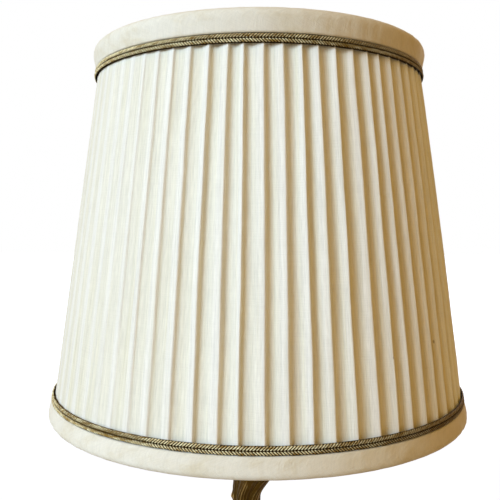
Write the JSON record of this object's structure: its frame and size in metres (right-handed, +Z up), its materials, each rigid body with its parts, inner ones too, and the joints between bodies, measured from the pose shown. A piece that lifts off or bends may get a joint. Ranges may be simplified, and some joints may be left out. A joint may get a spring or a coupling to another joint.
{
  "type": "candle lamp with shade",
  "caption": "Table candlestick lamp: swirled bronze stem, electric candle, wire carrier, and a pleated silk shade on a tilting gimbal that lifts off.",
  "frame": {"origin": "middle of the felt's underside, on the surface that the lamp stands on", "axes": "+Z up along the candle, -Y to the front, +X to the right; the gimbal's pins lie along X"},
  "size_m": [0.2, 0.2, 0.39],
  "materials": {
    "felt": "wool felt",
    "plate_steel": "zinc plated",
    "ballast_iron": "rough cast",
    "bronze": "dark bronze patina, rubbed at the edges",
    "phenolic": "satin moulding",
    "bright_brass": "satin",
    "candle_card": "ivory, satin",
    "porcelain": "unglazed",
    "clear_glass": "clear",
    "cap_metal": "nickel plated",
    "dark_bead": "black glass bead",
    "filament_metal": "drawn wire",
    "pleated_silk": "slub silk, ivory",
    "lining_silk": "smooth silk, cream",
    "binding_cloth": "plain silk strip, ivory",
    "gold_braid": "metallic soutache, antique gold",
    "frame_wire": "cream lacquer"
  },
  "bodies": {
    "stand": {"felt_pad": "felt", "base_plate": "plate_steel", "plate_screws": "plate_steel", "foot_weight": "ballast_iron", "foot": "bronze", "cord_bush": "phenolic", "knop": "bronze", "stem": "bronze", "upper_stud": "bright_brass", "lower_stud": "bright_brass", "foot_washer": "plate_steel", "foot_nut": "plate_steel", "calyx": "bronze", "drip_pan": "bronze", "nozzle": "bronze", "nozzle_nut": "plate_steel", "candle_tube": "candle_card", "holder_cap": "phenolic", "holder_body": "phenolic", "holder_core": "porcelain", "screw_shell": "bright_brass", "centre_tongue": "bright_brass", "terminal_screws": "bright_brass"},
    "keeper": {"retaining_ring": "phenolic"},
    "bulb": {"bulb_glass": "clear_glass", "bulb_cap": "cap_metal", "bulb_insulator": "dark_bead", "end_contact": "cap_metal", "bulb_stem": "clear_glass", "lead_wires": "cap_metal", "filament": "filament_metal"},
    "carrier": {"carrier_ring": "bright_brass", "carrier_wire_left": "bright_brass", "carrier_wire_right": "bright_brass", "carrier_collar": "bright_brass"},
    "gimbal": {"gimbal_ring": "bright_brass", "gimbal_pins": "bright_brass"},
    "shade": {"pleated_cover": "pleated_silk", "lining": "lining_silk", "bottom_binding": "binding_cloth", "top_binding": "binding_cloth", "bottom_braid": "gold_braid", "top_braid": "gold_braid", "bottom_ring": "frame_wire", "top_ring": "frame_wire", "gimbal_hoop": "frame_wire", "rib_1": "frame_wire", "rib_2": "frame_wire", "rib_3": "frame_wire", "rib_4": "frame_wire", "rib_5": "frame_wire", "rib_6": "frame_wire", "spider_arm_1": "frame_wire", "spider_arm_2": "frame_wire", "spider_arm_3": "frame_wire"}
  },
  "joints": [
    {"name": "keeper_turn", "type": "hinge", "parent": "stand", "child": "keeper", "pos_m": [0, 0, 0.2755], "axis": [0, 0, 1], "continuous": true},
    {"name": "bulb_turn", "type": "hinge", "parent": "stand", "child": "bulb", "pos_m": [0, 0, 0.28], "axis": [0, 0, 1], "continuous": true},
    {"name": "carrier_turn", "type": "hinge", "parent": "stand", "child": "carrier", "pos_m": [0, 0, 0.271], "axis": [0, 0, 1], "continuous": true},
    {"name": "shade_lift", "type": "slide", "parent": "carrier", "child": "gimbal", "axis": [0, 0, 1], "range_m": [0, 0.2]},
    {"name": "shade_tilt", "type": "hinge", "parent": "gimbal", "child": "shade", "pos_m": [0, 0, 0.377], "axis": [1, 0, 0], "range_deg": [-12, 12]}
  ]
}
